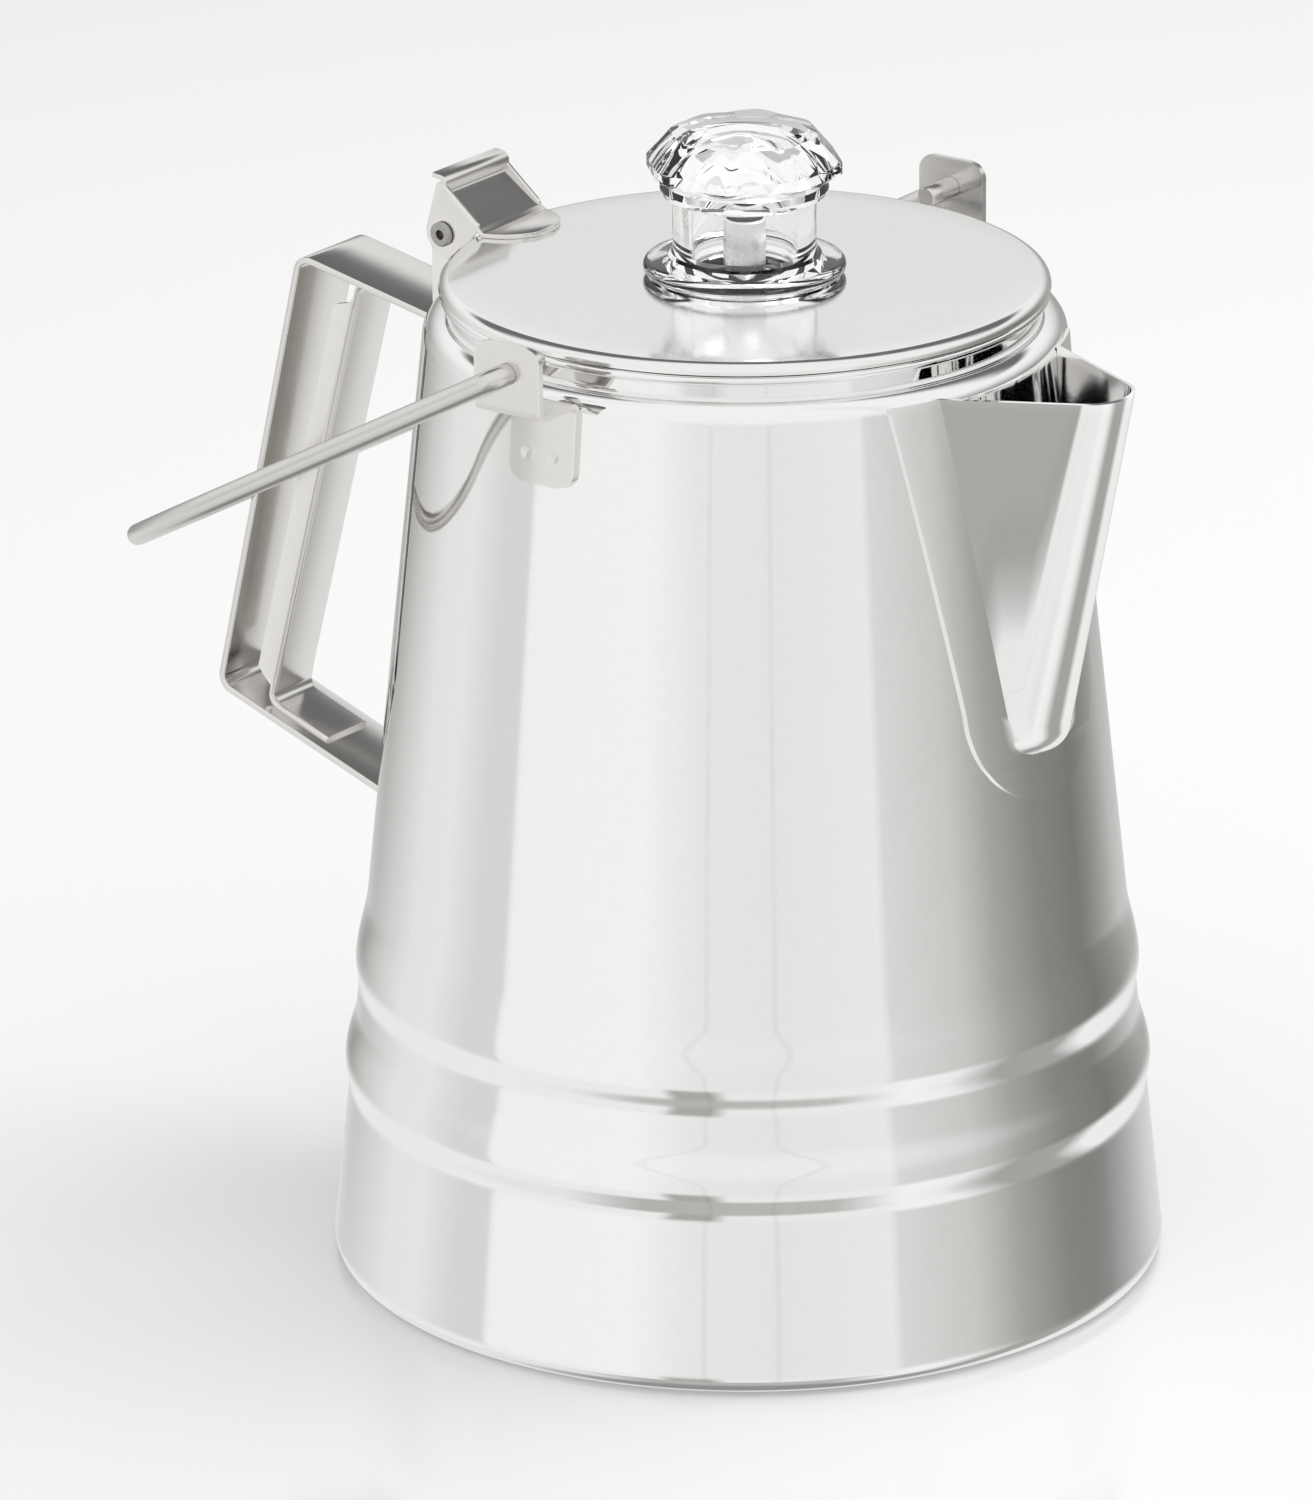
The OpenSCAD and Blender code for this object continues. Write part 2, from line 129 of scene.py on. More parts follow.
def cone_r(z):
    """Radius of the wall's cone, without its beads, at a height."""
    return CONE_R - TAPER * z


def wall_r(z):
    """Radius of the wall with its two beads, at a height."""
    r = cone_r(z)
    for crest, height, below, above in BEADS:
        t = (z - crest) / (below if z < crest else above)
        if abs(t) < 1:
            r += height * (1 + math.cos(math.pi * t)) / 2
    return r


# ---- Mesh tools ----

def arc(cx, cy, r, start, end, steps=8):
    """Points on an arc, with its angles in degrees."""
    angles = [math.radians(start + (end - start) * i / steps) for i in range(steps + 1)]
    return [(cx + r * math.cos(a), cy + r * math.sin(a)) for a in angles]


def spread(start, end, steps):
    """Evenly spaced values from start to end."""
    return [start + (end - start) * i / steps for i in range(steps + 1)]


def smooth(t):
    """0 below 0, 1 above 1, and a smooth step between."""
    t = min(1, max(0, t))
    return t * t * (3 - 2 * t)


def rounded(points, r, steps=8):
    """A 2D path with each inner corner rounded."""
    path = [Vector(points[0])]
    for a, b, c in zip(points, points[1:], points[2:]):
        a, b, c = Vector(a), Vector(b), Vector(c)
        u, v = (a - b).normalized(), (c - b).normalized()
        half = u.angle(v) / 2
        centre = b + (u + v).normalized() * r / math.sin(half)
        s = b + u * r / math.tan(half) - centre
        e = b + v * r / math.tan(half) - centre
        sweep = math.pi - 2 * half
        for i in range(steps + 1):
            t = i / steps
            path.append(centre + (s * math.sin((1 - t) * sweep) + e * math.sin(t * sweep)) / math.sin(sweep))
    return path + [Vector(points[-1])]


def resample(path, step):
    """The same path with extra points, so that none are further apart than a step."""
    fine = [path[0]]
    for a, b in zip(path, path[1:]):
        parts = max(1, math.ceil((b - a).length / step))
        fine += [a.lerp(b, i / parts) for i in range(1, parts + 1)]
    return fine


def normals(path):
    """A unit normal at each point of a 2D path, to the left of its direction, stretched at corners."""
    found = []
    for i, p in enumerate(path):
        before = (p - path[i - 1]).normalized() if i else None
        after = (path[i + 1] - p).normalized() if i < len(path) - 1 else before
        before = before or after
        mid = (before + after).normalized()
        found.append(Vector((-mid.y, mid.x)) / max(0.3, mid.dot(after)))
    return found


def outward_mesh(name, verts, faces):
    """A mesh from millimetres, with its faces turned outwards."""
    mesh = bpy.data.meshes.new(name)
    mesh.from_pydata([Vector(v) * MM for v in verts], [], faces)
    bm = bmesh.new()
    bm.from_mesh(mesh)
    bmesh.ops.recalc_face_normals(bm, faces=bm.faces)
    bm.to_mesh(mesh)
    bm.free()
    return mesh


def shade(mesh, sharp=35):
    """Smooth shading, except over edges that turn by more than an angle in degrees."""
    mesh.shade_smooth()
    mesh.set_sharp_from_angle(angle=math.radians(sharp))


def piece(name, verts, faces, body, slot, nodes=(), sharp=35):
    """An object of the pot, made from millimetres, that rides on a body and stands for CAD nodes."""
    mesh = outward_mesh(name, verts, faces)
    shade(mesh, sharp)
    obj = bpy.data.objects.new(name, mesh)
    bpy.context.collection.objects.link(obj)
    obj.data.materials.append(MATERIALS[slot])
    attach(obj, body)
    if nodes:
        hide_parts(*nodes)
    return obj


def lathe(profile, segments=192, shape=None):
    """Vertices and faces of a closed outline of (radius, height) turned about Z.

    shape(k, r, z, a) gives the radius of outline point k at the angle a.
    """
    verts, faces, rings = [], [], []
    for k, (r, z) in enumerate(profile):
        if r < 1e-6:
            rings.append([len(verts)])
            verts.append((0, 0, z))
            continue
        rings.append(range(len(verts), len(verts) + segments))
        for i in range(segments):
            a = math.tau * i / segments
            ra = shape(k, r, z, a) if shape else r
            verts.append((ra * math.cos(a), ra * math.sin(a), z))
    for a, b in zip(rings, rings[1:] + rings[:1]):
        for i in range(segments):
            j = (i + 1) % segments
            corners = [a[i % len(a)], a[j % len(a)], b[j % len(b)], b[i % len(b)]]
            face = list(dict.fromkeys(corners))
            if len(face) > 2:
                faces.append(face)
    return verts, faces


def loft(sections):
    """Vertices and faces of a closed solid through sections with equally many points, with flat ends."""
    count = len(sections[0])
    verts = [p for section in sections for p in section]
    faces = [list(range(count))[::-1], list(range(len(verts) - count, len(verts)))]
    for s in range(len(sections) - 1):
        for i in range(count):
            j = (i + 1) % count
            faces.append([s * count + i, s * count + j, (s + 1) * count + j, (s + 1) * count + i])
    return verts, faces


def bar_section(width, thick, edge, steps=3):
    """Outline of a flat bar with rounded edges, as (across, through) points."""
    w, t = width / 2 - edge, thick / 2 - edge
    points = []
    for cx, cy, start in ((w, t, 0), (-w, t, 90), (-w, -t, 180), (w, -t, 270)):
        points += arc(cx, cy, edge, start, start + 90, steps)
    return points


def strap_sections(path, width, thick, edge=0.3, wrap=None):
    """Sections of a flat strap along a path in X and Z, with its width along Y.

    wrap(i, y) shifts X so that an end of the strap can follow the round wall.
    """
    sections = []
    for i, (p, n) in enumerate(zip(path, normals(path))):
        w = width(i) if callable(width) else width
        section = []
        for across, through in bar_section(w, thick, edge):
            x = p.x + n.x * through + (wrap(i, across) if wrap else 0)
            section.append((x, across, p.y + n.y * through))
        sections.append(section)
    return sections


def tube_sections(path, radius, sides=32):
    """Circles along a 3D path, carried along without twist."""
    tangents = []
    for i in range(len(path)):
        a, b = path[max(i - 1, 0)], path[min(i + 1, len(path) - 1)]
        tangents.append((b - a).normalized())
    side = tangents[0].orthogonal().normalized()
    sections = []
    for i, (p, t) in enumerate(zip(path, tangents)):
        if i:
            side = tangents[i - 1].rotation_difference(t) @ side
        up = t.cross(side)
        r = radius(i) if callable(radius) else radius
        angles = [math.tau * k / sides for k in range(sides)]
        sections.append([p + (side * math.cos(a) + up * math.sin(a)) * r for a in angles])
    return sections


def weld_dimple(x, z, centre, radius, depth):
    """Depth of a spot weld's dimple at a point of a sheet."""
    d = math.hypot(x - centre[0], z - centre[1]) / radius
    return depth * (smooth(1.6 - 1.6 * d) - 0.35 * smooth(1 - abs(d - 1.1) * 3))


def combine(obj, verts, faces, operation):
    """Cuts a solid, given in millimetres, out of a piece, or joins it to the piece."""
    other = bpy.data.objects.new("other", outward_mesh("other", verts, faces))
    bpy.context.collection.objects.link(other)
    modifier = obj.modifiers.new("combine", "BOOLEAN")
    modifier.object = other
    modifier.operation = operation
    modifier.solver = "EXACT"
    apply_modifiers(obj)
    bpy.data.objects.remove(other)
    shade(obj.data)


def cut(obj, verts, faces):
    """Cuts a solid out of a piece."""
    combine(obj, verts, faces, "DIFFERENCE")


def merge(obj, verts, faces):
    """Joins a solid to a piece."""
    combine(obj, verts, faces, "UNION")


def grid(rows):
    """Vertices and faces of an open sheet through rows with equally many points."""
    count = len(rows[0])
    verts = [p for row in rows for p in row]
    faces = []
    for j in range(len(rows) - 1):
        for i in range(count - 1):
            a = j * count + i
            faces.append([a, a + 1, a + count + 1, a + count])
    return verts, faces


def thicken(obj, thick):
    """Turns an open sheet into a closed solid, half of its thickness on each side."""
    modifier = obj.modifiers.new("thicken", "SOLIDIFY")
    modifier.thickness = thick * MM
    modifier.offset = 0
    apply_modifiers(obj)
    shade(obj.data)


def apply_modifiers(obj):
    """Turns an object's modifiers into its mesh."""
    graph = bpy.context.evaluated_depsgraph_get()
    mesh = bpy.data.meshes.new_from_object(obj.evaluated_get(graph))
    obj.modifiers.clear()
    obj.data = mesh


def rod(start, end, r, sides=32):
    """A straight round solid between two points, to cut with or to join."""
    return loft(tube_sections([Vector(start), Vector(end)], r, sides))


# ---- Materials ----

def nodes_of(name):
    """A new node material: its tree, its shader and a short way to add nodes."""
    made = bpy.data.materials.new(name)
    made.use_nodes = True
    tree = made.node_tree
    shader = tree.nodes["Principled BSDF"]

    def add(kind, **settings):
        node = tree.nodes.new("ShaderNode" + kind)
        for key, value in settings.items():
            if hasattr(node, key):
                setattr(node, key, value)
            else:
                node.inputs[key].default_value = value
        return node

    return made, tree, shader, add


WEAR = 0.06                    # how much duller a rubbed edge is
SMUDGE = 0.03                  # and a smudge


def steel(name, colour, rough, grain=(1, 1, 1), grain_scale=900, bump=0.02, spun=False):
    """Stainless steel: fine grain, soft smudges and edges rubbed brighter.

    rough is the least and the most roughness of the grain, and spun turns the grain into rings.
    """
    made, tree, shader, add = nodes_of(name)
    link = tree.links.new
    place = add("TexCoord")
    stretch = add("Mapping")
    stretch.inputs["Scale"].default_value = grain
    fine = add("TexNoise", Scale=grain_scale, Detail=4.0, Roughness=0.6)
    if spun:
        parts = add("SeparateXYZ")
        flat = add("CombineXYZ")
        length = add("VectorMath", operation="LENGTH")
        ring = add("CombineXYZ")
        link(place.outputs["Object"], parts.inputs[0])
        link(parts.outputs["X"], flat.inputs["X"])
        link(parts.outputs["Y"], flat.inputs["Y"])
        link(flat.outputs[0], length.inputs[0])
        link(length.outputs["Value"], ring.inputs["X"])
        link(ring.outputs[0], stretch.inputs["Vector"])
    else:
        link(place.outputs["Object"], stretch.inputs["Vector"])
    link(stretch.outputs[0], fine.inputs["Vector"])
    patches = add("TexNoise", Scale=45.0, Detail=3.0, Roughness=0.55)
    link(place.outputs["Object"], patches.inputs["Vector"])
    specks = add("TexNoise", Scale=420.0, Detail=2.0)
    link(place.outputs["Object"], specks.inputs["Vector"])

    edges = add("NewGeometry")
    rubbed = add("MapRange")
    rubbed.inputs["From Min"].default_value = 0.52
    rubbed.inputs["From Max"].default_value = 0.6
    link(edges.outputs["Pointiness"], rubbed.inputs["Value"])

    grain_rough = add("MapRange")
    grain_rough.inputs["To Min"].default_value = rough[0]
    grain_rough.inputs["To Max"].default_value = rough[1]
    link(fine.outputs[0], grain_rough.inputs["Value"])
    smear = add("MapRange")
    smear.inputs["From Min"].default_value = 0.45
    smear.inputs["From Max"].default_value = 0.75
    smear.inputs["To Max"].default_value = SMUDGE
    link(patches.outputs[0], smear.inputs["Value"])
    total = add("Math", operation="ADD")
    link(grain_rough.outputs[0], total.inputs[0])
    link(smear.outputs[0], total.inputs[1])
    worn = add("Math", operation="MULTIPLY_ADD")
    worn.inputs[1].default_value = WEAR
    link(rubbed.outputs[0], worn.inputs[0])
    link(total.outputs[0], worn.inputs[2])
    link(worn.outputs[0], shader.inputs["Roughness"])

    tone = add("Mix", data_type="RGBA")
    tone.inputs["A"].default_value = (*[c * 0.965 for c in colour], 1)
    tone.inputs["B"].default_value = (*colour, 1)
    link(specks.outputs[0], tone.inputs["Factor"])
    bright = add("Mix", data_type="RGBA")
    bright.inputs["B"].default_value = (*[min(1, c * 1.08) for c in colour], 1)
    link(rubbed.outputs[0], bright.inputs["Factor"])
    link(tone.outputs["Result"], bright.inputs["A"])
    link(bright.outputs["Result"], shader.inputs["Base Color"])

    relief = add("Bump")
    relief.inputs["Strength"].default_value = bump
    relief.inputs["Distance"].default_value = 0.0004
    link(fine.outputs[0], relief.inputs["Height"])
    link(relief.outputs[0], shader.inputs["Normal"])
    shader.inputs["Metallic"].default_value = 1
    return made


def glass(name):
    """Clear pressed glass with faint waves and a few dull specks."""
    made, tree, shader, add = nodes_of(name)
    link = tree.links.new
    place = add("TexCoord")
    waves = add("TexNoise", Scale=110.0, Detail=1.0)
    dust = add("TexNoise", Scale=1500.0, Detail=2.0)
    link(place.outputs["Object"], waves.inputs["Vector"])
    link(place.outputs["Object"], dust.inputs["Vector"])
    relief = add("Bump")
    relief.inputs["Strength"].default_value = 0.12
    relief.inputs["Distance"].default_value = 0.001
    link(waves.outputs[0], relief.inputs["Height"])
    link(relief.outputs[0], shader.inputs["Normal"])
    dull = add("MapRange")
    dull.inputs["From Min"].default_value = 0.55
    dull.inputs["From Max"].default_value = 0.8
    dull.inputs["To Max"].default_value = 0.05
    link(dust.outputs[0], dull.inputs["Value"])
    link(dull.outputs[0], shader.inputs["Roughness"])
    shader.inputs["Base Color"].default_value = (0.985, 0.99, 0.99, 1)
    shader.inputs["Transmission Weight"].default_value = 1
    shader.inputs["IOR"].default_value = 1.5
    return made


MATERIALS = {
    "polished_steel": steel("polished_steel", (0.93, 0.925, 0.92), (0.025, 0.05), bump=0.006),
    "lid_steel": steel("lid_steel", (0.9, 0.895, 0.885), (0.07, 0.13), spun=True, grain_scale=2500,
        bump=0.03),
    "satin_steel": steel("satin_steel", (0.79, 0.775, 0.755), (0.13, 0.2), grain=(1, 7, 1), grain_scale=1900,
        bump=0.02),
    "wire_steel": steel("wire_steel", (0.74, 0.725, 0.705), (0.2, 0.3), grain=(0.2, 1, 1), grain_scale=1500,
        bump=0.03),
    "pin_steel": steel("pin_steel", (0.42, 0.41, 0.4), (0.22, 0.4), grain_scale=1200, bump=0.1),
    "inner_steel": steel("inner_steel", (0.82, 0.815, 0.805), (0.16, 0.3), grain_scale=1300, bump=0.08),
    "clear_glass": glass("clear_glass"),
}


# ---- Camera, floor and light ----

CAMERA_AZIMUTH = math.radians(35.27)
TO_CAMERA = Vector((math.sin(CAMERA_AZIMUTH), -math.cos(CAMERA_AZIMUTH), 0))
TO_RIGHT = Vector((math.cos(CAMERA_AZIMUTH), math.sin(CAMERA_AZIMUTH), 0))
CAMERA_BACK = 2.033            # metres from the pot's axis
CAMERA_UP = 0.836              # metres above the table
CAMERA_ROLL = math.radians(-0.4)
LENS = 252.3
AIM_RIGHT = -0.0185            # the point it looks at, in metres from the axis and above the table
AIM_UP = 0.1075


def make_camera():
    """A long lens from the front right, a little above the lid."""
    data = bpy.data.cameras.new("camera")
    data.lens = LENS
    data.sensor_width = 36
    camera = bpy.data.objects.new("camera", data)
    bpy.context.collection.objects.link(camera)
    camera.location = TO_CAMERA * CAMERA_BACK + Vector((0, 0, CAMERA_UP))
    target = TO_RIGHT * AIM_RIGHT + Vector((0, 0, AIM_UP))
    aim = target - camera.location
    camera.rotation_mode = "QUATERNION"
    camera.rotation_quaternion = aim.to_track_quat("-Z", "Y") @ Quaternion((0, 0, 1), CAMERA_ROLL)
    bpy.context.scene.camera = camera


def make_floor():
    """A pale glossy table top."""
    r, t, edge = 1500, 12, 3
    profile = [(0, 0), (r - edge, 0)] + arc(r - edge, -edge, edge, 90, 0)[1:] + [(r, -t), (0, -t)]
    verts, faces = lathe(profile, 96)
    mesh = bpy.data.meshes.new("floor")
    mesh.from_pydata([Vector(v) * MM for v in verts], [], faces)
    shade(mesh)
    obj = bpy.data.objects.new("floor", mesh)
    bpy.context.collection.objects.link(obj)
    made, tree, shader, add = nodes_of("pale_table")
    place = add("TexCoord")
    mottle = add("TexNoise", Scale=9.0, Detail=2.0)
    tree.links.new(place.outputs["Object"], mottle.inputs["Vector"])
    dull = add("MapRange")
    dull.inputs["To Min"].default_value = 0.06
    dull.inputs["To Max"].default_value = 0.1
    tree.links.new(mottle.outputs[0], dull.inputs["Value"])
    tree.links.new(dull.outputs[0], shader.inputs["Roughness"])
    shader.inputs["Base Color"].default_value = (0.93, 0.93, 0.93, 1)
    obj.data.materials.append(made)
    obj.visible_glossy = False


# Brightness round the pot as (degrees to the right of the camera, brightness): panels and darker gaps
SURROUND = (
    (-180, 0.36), (-155, 0.36), (-138, 0.62), (-120, 0.82), (-104, 0.85), (-88, 0.72), (-77.5, 0.72),
    (-75.5, 0.94), (-32, 0.96), (-16, 0.86), (10, 0.84), (40, 0.88), (42, 0.74), (65, 0.62), (80, 0.4),
    (98, 0.26), (120, 0.2), (134, 0.28), (152, 0.42), (180, 0.36))
# The same for the table, as the beads' undersides and the spout's side see it, and further down
TABLE = (
    (-180, 0.85), (-90, 0.9), (-26, 0.9), (-22, 0.43), (-11, 0.43), (-6, 0.88), (38, 0.9), (52, 0.97),
    (66, 0.9), (84, 0.4), (108, 0.4), (122, 0.92), (180, 0.85))
TABLE_NEAR = (
    (-180, 0.8), (-60, 0.85), (-34, 0.48), (28, 0.53), (50, 0.97), (64, 0.9), (84, 0.4), (108, 0.4),
    (122, 0.92), (180, 0.85))
TABLE_DEEP = 0.3               # straight down
TOP_LIGHT = 0.96
BACK_SHADE = 0.16              # behind the pot, above what the lid mirrors
THROUGH_GLASS = 0.55           # share of the white backdrop in what the glass mirrors inside


def make_world():
    """Soft studio light from all round, brightest on the left of the camera, and a white backdrop."""
    world = bpy.data.worlds.new("studio")
    bpy.context.scene.world = world
    world.use_nodes = True
    tree = world.node_tree
    link = tree.links.new

    def add(kind, **settings):
        node = tree.nodes.new("ShaderNode" + kind)
        for key, value in settings.items():
            setattr(node, key, value)
        return node

    def math_node(operation, a, b=None, c=None):
        node = add("Math", operation=operation)
        for i, value in enumerate((a, b, c)):
            if value is None:
                continue
            if isinstance(value, (int, float)):
                node.inputs[i].default_value = value
            else:
                link(value, node.inputs[i])
        return node.outputs[0]

    def dot(direction):
        node = add("VectorMath", operation="DOT_PRODUCT")
        link(place.outputs["Generated"], node.inputs[0])
        node.inputs[1].default_value = direction
        return node.outputs["Value"]

    def step(value, low, high):
        node = add("MapRange", interpolation_type="SMOOTHSTEP")
        link(value, node.inputs["Value"])
        node.inputs["From Min"].default_value = low
        node.inputs["From Max"].default_value = high
        return node.outputs[0]

    place = add("TexCoord")
    rise = dot((0, 0, 1))
    turn = math_node("ARCTAN2", dot(TO_RIGHT), dot(TO_CAMERA))
    share = math_node("MULTIPLY_ADD", turn, 1 / math.tau, 0.5)

    def ring(brightness):
        ramp = add("ValToRGB")
        stops = ramp.color_ramp.elements
        while len(stops) > 1:
            stops.remove(stops[-1])
        for i, (degrees, value) in enumerate(brightness):
            at = degrees / 360 + 0.5
            stop = stops[0] if i == 0 else stops.new(at)
            stop.position = at
            warm = 0.05 * (1 - value)
            stop.color = (value * (1 + warm * 0.4), value, value * (1 - warm), 1)
        link(share, ramp.inputs[0])
        return ramp.outputs[0]

    def blend(amount, a, b):
        node = add("Mix", data_type="RGBA")
        link(amount, node.inputs["Factor"])
        for socket, value in (("A", a), ("B", b)):
            if isinstance(value, float):
                node.inputs[socket].default_value = (value, value, value, 1)
            else:
                link(value, node.inputs[socket])
        return node.outputs["Result"]

    # two faint upright seams in front, which fan out as they rise
    fan = math_node("MULTIPLY_ADD", step(rise, -0.1, 0.4), -0.85, 1)
    fanned = math_node("MULTIPLY", turn, fan)
    seams = None
    for degrees in (-12, 8):
        off = math_node("ABSOLUTE", math_node("SUBTRACT", fanned, math.radians(degrees)))
        line = math_node("SUBTRACT", 1, step(off, math.radians(0.3), math.radians(1.1)))
        seams = line if seams is None else math_node("ADD", seams, line)
    dim = math_node("MULTIPLY_ADD", seams, -0.07, 1)

    fall = math_node("MULTIPLY", rise, -1)
    table = blend(step(fall, 0.56, 0.64), ring(TABLE), ring(TABLE_NEAR))
    table = blend(step(fall, 0.8, 0.97), table, TABLE_DEEP)
    sides = blend(step(fall, 0.24, 0.42), ring(SURROUND), table)
    sky = blend(step(rise, 0, 0.42), sides, TOP_LIGHT)
    behind = step(math_node("ABSOLUTE", turn), math.radians(100), math.radians(135))
    band = math_node("SUBTRACT", step(rise, 0.46, 0.54), step(rise, 0.9, 0.98))
    studio = blend(math_node("MULTIPLY", behind, band), sky, BACK_SHADE)
    around = add("Background")
    link(studio, around.inputs["Color"])
    link(dim, around.inputs["Strength"])
    backdrop = add("Background")
    backdrop.inputs["Color"].default_value = (1, 1, 1, 1)
    path = add("LightPath")
    seen = math_node("MAXIMUM", path.outputs["Is Camera Ray"], path.outputs["Is Transmission Ray"])
    in_glass = math_node("GREATER_THAN", path.outputs["Transmission Depth"], 0.5)
    inside = math_node("MULTIPLY", in_glass, THROUGH_GLASS)
    seen = math_node("MAXIMUM", seen, inside)
    choice = add("MixShader")
    link(seen, choice.inputs[0])
    link(around.outputs[0], choice.inputs[1])
    link(backdrop.outputs[0], choice.inputs[2])
    out = tree.nodes["World Output"]
    link(choice.outputs[0], out.inputs["Surface"])


def make_lamp():
    """A broad soft lamp overhead that lights the table."""
    data = bpy.data.lights.new("overhead", "AREA")
    data.shape = "DISK"
    data.size = 1.6
    data.energy = 15
    lamp = bpy.data.objects.new("overhead", data)
    lamp.location = (0.3, 0.8, 1.8)
    aim = Vector((0, 0.3, 0)) - lamp.location
    lamp.rotation_mode = "QUATERNION"
    lamp.rotation_quaternion = aim.to_track_quat("-Z", "Y")
    lamp.visible_glossy = False
    bpy.context.collection.objects.link(lamp)


# ---- Body and spout ----

STRAINER_TOP = SPOUT_Z - 19
STRAINER_ROWS = (3, 2, 3, 2, 1)
STRAINER_STEP = 9


def make_body():
    """The turned wall with its beads, shoulder and rolled rim, and the strainer holes behind the spout."""
    top = BEADS[1][0] + BEADS[1][3] + 2
    foot = FOOT_ROUND
    low = [foot + 1] + spread(foot + 2, top, 110)
    outer = [(80, 0)] + arc(wall_r(foot) - foot, foot, foot, -90, 0, 12)
    outer += [(wall_r(z), z) for z in low] + [(cone_r(z), z) for z in spread(top, SHOULDER_Z, 8)[1:-1]]
    outer += arc(NECK_R, SHOULDER_Z, SHOULDER_ROUND, 0, 90, 20)
    outer += [(NECK_R, RIM_Z - RIM_BEAD)]
    outer += arc(NECK_R + 0.3, RIM_Z, RIM_BEAD, -75, 180, 24)
    inner = [(NECK_R - SHEET, RIM_Z - 1)]
    inner += arc(NECK_R, SHOULDER_Z, SHOULDER_ROUND - SHEET, 90, 0, 20)
    inner += [(cone_r(z) - SHEET, z) for z in spread(SHOULDER_Z, top, 8)[1:-1]]
    inner += [(wall_r(z) - SHEET, z) for z in reversed(low)]
    inner += arc(wall_r(foot) - foot, foot, foot - SHEET, 0, -90, 12) + [(80, SHEET)]
    verts, faces = lathe(outer + inner, 288)
    body = piece("pot_wall", verts, faces, "pot", "polished_steel", ["body_shell"])
    for i, count in enumerate(STRAINER_ROWS):
        for j in range(count):
            y = (j - (count - 1) / 2) * STRAINER_STEP
            z = STRAINER_TOP - i * STRAINER_STEP
            cut(body, *rod((NECK_R - 10, y, z), (NECK_R + 20, y, z), 2.5))


def flange_half_w(z):
    """Half of the width of the spout's flange at a height: straight sides on a round foot."""
    middle = FLANGE_LOW + FLANGE_R
    if z > middle:
        return FLANGE_R + (FLANGE_W - FLANGE_R) * (z - middle) / (SPOUT_Z - middle)
    return math.sqrt(max(0, FLANGE_R ** 2 - (middle - z) ** 2))


def spout_row(z):
    """Middle line of the spout's sheet at one height: flange, side, nose and again."""
    wall = cone_r(z) + SHEET / 2
    t = (z - SPOUT_FOOT_Z) / (SPOUT_Z - SPOUT_FOOT_Z)
    half = flange_half_w(z)
    fold = FOLD_W[0] + (FOLD_W[1] - FOLD_W[0]) * max(0, t)
    low = SPOUT_FOOT_Z - FOOT_CLOSE
    out = 1 if t >= 0 else math.sqrt(max(0, 1 - ((SPOUT_FOOT_Z - z) / FOOT_CLOSE) ** 2))
    narrow = FOOT_NARROW + (1 - FOOT_NARROW) * out
    if z < low:
        narrow *= half / flange_half_w(low)
    r = FOOT_NOSE_R + (NOSE_R - FOOT_NOSE_R) * max(0, t) - SHEET / 2
    foot_x = cone_r(SPOUT_FOOT_Z) + FOOT_OUT - FOOT_NOSE_R
    centre = Vector((foot_x + (NOSE_X - NOSE_R - foot_x) * max(0, t), 0))
    corner = Vector((math.sqrt(wall ** 2 - fold ** 2), fold))
    lead = corner - centre
    touch = math.degrees(math.atan2(lead.y, lead.x) - math.acos(min(1, r / lead.length)))
    nose = [Vector(p) for p in arc(centre.x, 0, r, touch, 0, 14)]
    side = [corner.lerp(nose[0], i / 6) for i in range(6)] + nose
    row = [(math.sqrt(wall ** 2 - y * y), y) for y in spread(half, fold * narrow, 5)[:-1]]
    for p in side:
        y = p.y * narrow
        on_wall = math.sqrt(wall ** 2 - y * y)
        row.append((on_wall + (max(p.x, on_wall) - on_wall) * out, y))
    points = [(x, y, z) for x, y in row]
    return points + [(x, -y, z) for x, y in row[-2::-1]]


def make_spout():
    """A sheet folded to a trough with a round nose, with a flange welded on the wall."""
    middle = FLANGE_LOW + FLANGE_R
    low = [middle - FLANGE_R * math.cos(math.radians(a)) for a in spread(6, 48, 12)]
    low = [z for z in low if z < SPOUT_FOOT_Z - FOOT_CLOSE - 0.2]
    foot = [SPOUT_FOOT_Z - FOOT_CLOSE * math.cos(math.radians(a)) for a in spread(0, 90, 12)]
    heights = low + foot + spread(SPOUT_FOOT_Z, SPOUT_Z, 40)[1:]
    verts, faces = grid([spout_row(z) for z in heights])
    spout = piece("spout_sheet", verts, faces, "pot", "polished_steel", ["spout"], 28)
    thicken(spout, SHEET)


# ---- Handle ----

ARM_FALL = (STRAP_TOP.y - ARM_Z) / (-STRAP_TOP.x - cone_r(ARM_Z) - STRAP_T / 2)
LOW_FALL = (STRAP_LOW.y - LOW_ARM_Z) / (-STRAP_LOW.x - cone_r(LOW_ARM_Z) - STRAP_T / 2)


def wall_wrap(path, reach=8):
    """Bends a strap's ends round the wall: how far each point shifts towards the axis."""
    def shift(i, across):
        r = cone_r(path[i].y)
        away = -path[i].x - r
        return (r - math.sqrt(r * r - across * across)) * (1 - smooth(away / reach))
    return shift


